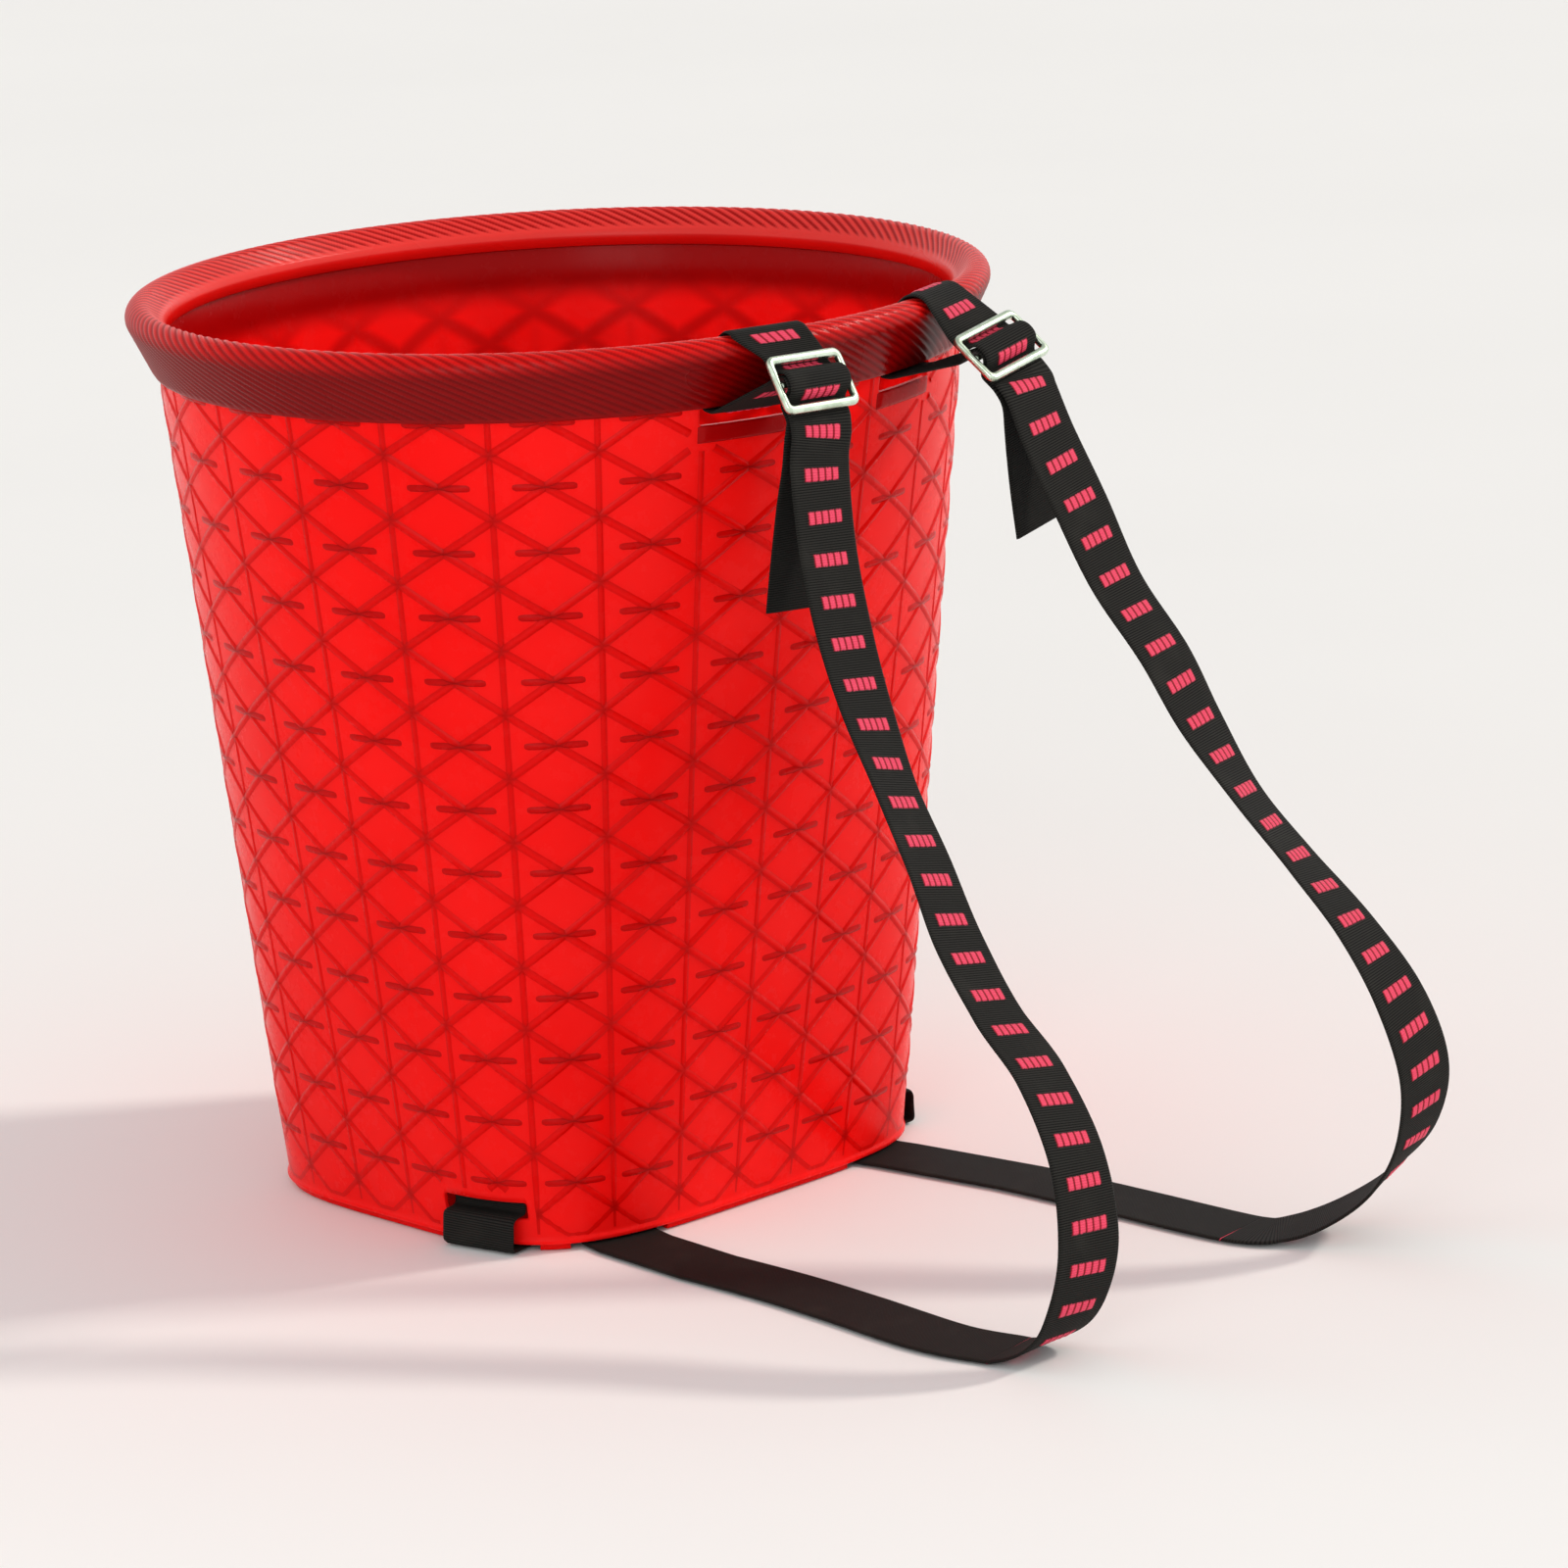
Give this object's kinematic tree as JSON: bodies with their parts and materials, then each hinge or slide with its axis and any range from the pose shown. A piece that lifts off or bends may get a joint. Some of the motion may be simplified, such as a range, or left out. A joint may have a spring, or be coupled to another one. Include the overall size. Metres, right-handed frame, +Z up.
{
  "type": "picking bucket",
  "caption": "Tall tapered moulded picking bucket with an oval rim, worn on the back by webbing shoulder straps with metal sliders.",
  "frame": {"origin": "on the ground under the middle of the tub's base", "axes": "+Z up, +X along the long axis of the mouth, -Y towards the shoulder straps"},
  "size_m": [0.3992, 0.5774, 0.4158],
  "materials": {
    "tub_plastic": "glossy moulded",
    "band_plastic": "glossy moulded, ridged",
    "webbing": "woven",
    "zinc": "bright zinc",
    "thread": "sewn"
  },
  "bodies": {
    "root": {"tub": "tub_plastic", "rim_band": "band_plastic", "left_rim_loop": "webbing", "left_base_run": "webbing", "left_stop_stitches": "thread", "right_rim_loop": "webbing", "right_base_run": "webbing", "right_stop_stitches": "thread"},
    "left_strap": {"left_shoulder_strap": "webbing", "left_tail": "webbing"},
    "left_slider": {"left_slider_frame": "zinc"},
    "left_bar": {"left_slider_bar": "zinc"},
    "right_strap": {"right_shoulder_strap": "webbing", "right_tail": "webbing"},
    "right_slider": {"right_slider_frame": "zinc"},
    "right_bar": {"right_slider_bar": "zinc"}
  },
  "joints": [
    {"name": "left_strap_swing", "type": "hinge", "parent": "root", "child": "left_strap", "pos_m": [-0.0426, -0.2054, 0.3792], "axis": [-0.117, 0.1918, -0.9744], "range_deg": [0, 45]},
    {"name": "left_slider_rock", "type": "hinge", "parent": "root", "child": "left_slider", "pos_m": [-0.042, -0.201, 0.3935], "axis": [0.998, 0.0349, -0.0523], "range_deg": [-4, 4]},
    {"name": "left_bar_slide", "type": "slide", "parent": "left_slider", "child": "left_bar", "axis": [0.0264, 0.5237, 0.8515], "range_m": [-0.001, 0.001]},
    {"name": "right_strap_swing", "type": "hinge", "parent": "root", "child": "right_strap", "pos_m": [0.07488, -0.21205, 0.3792], "axis": [-0.0339, -0.2095, 0.9772], "range_deg": [0, 45]},
    {"name": "right_slider_rock", "type": "hinge", "parent": "root", "child": "right_slider", "pos_m": [0.072, -0.204, 0.3915], "axis": [0.9806, 0.1378, 0.1392], "range_deg": [-4, 4]},
    {"name": "right_bar_slide", "type": "slide", "parent": "right_slider", "child": "right_bar", "axis": [-0.1956, 0.7288, 0.6562], "range_m": [-0.001, 0.001]}
  ]
}
